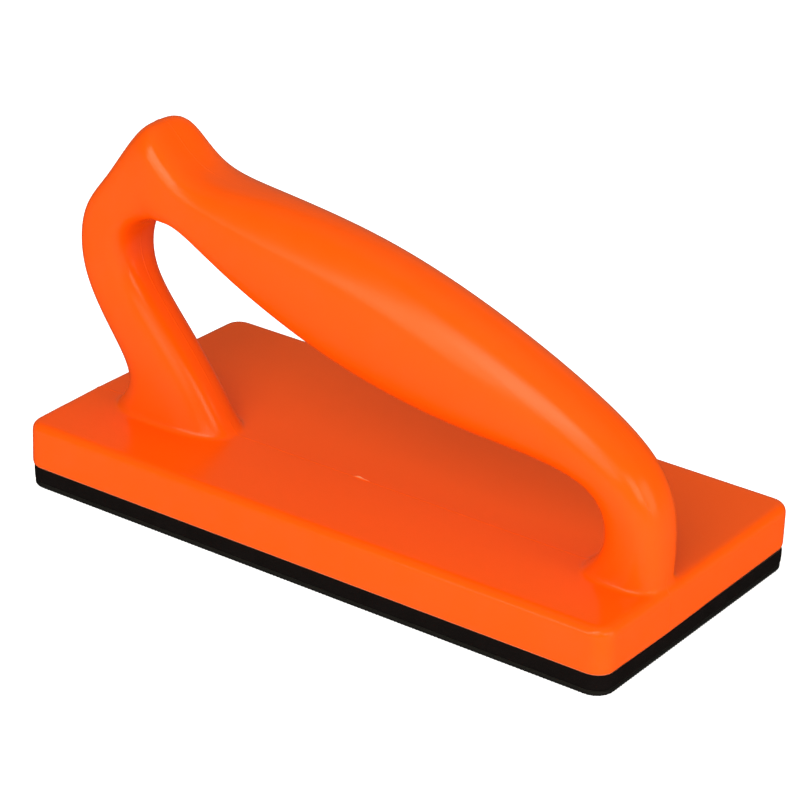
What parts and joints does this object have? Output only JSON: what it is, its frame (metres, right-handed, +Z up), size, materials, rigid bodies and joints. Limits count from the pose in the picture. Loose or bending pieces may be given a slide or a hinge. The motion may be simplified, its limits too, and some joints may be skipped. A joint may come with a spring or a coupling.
{
  "type": "sanding block",
  "caption": "Hollow moulded block with an offset sloping grip and rear horn, on a foam sole faced with hook sheet for abrasive.",
  "frame": {"origin": "centre of the sole's underside, on the surface the block rests on", "axes": "+X along the base towards the low end of the grip, +Z up; the grip stands over y = -0.0205, nearer the -Y edge"},
  "size_m": [0.23, 0.114, 0.1271],
  "materials": {
    "body_plastic": "waxy gloss",
    "foam": "closed-cell foam, matt",
    "hook_face": "moulded hooks",
    "adhesive_film": "tacky film"
  },
  "bodies": {
    "root": {"body": "body_plastic", "pad_adhesive": "adhesive_film", "foam_pad": "foam", "hook_adhesive": "adhesive_film", "hook_sheet": "hook_face"}
  },
  "joints": []
}
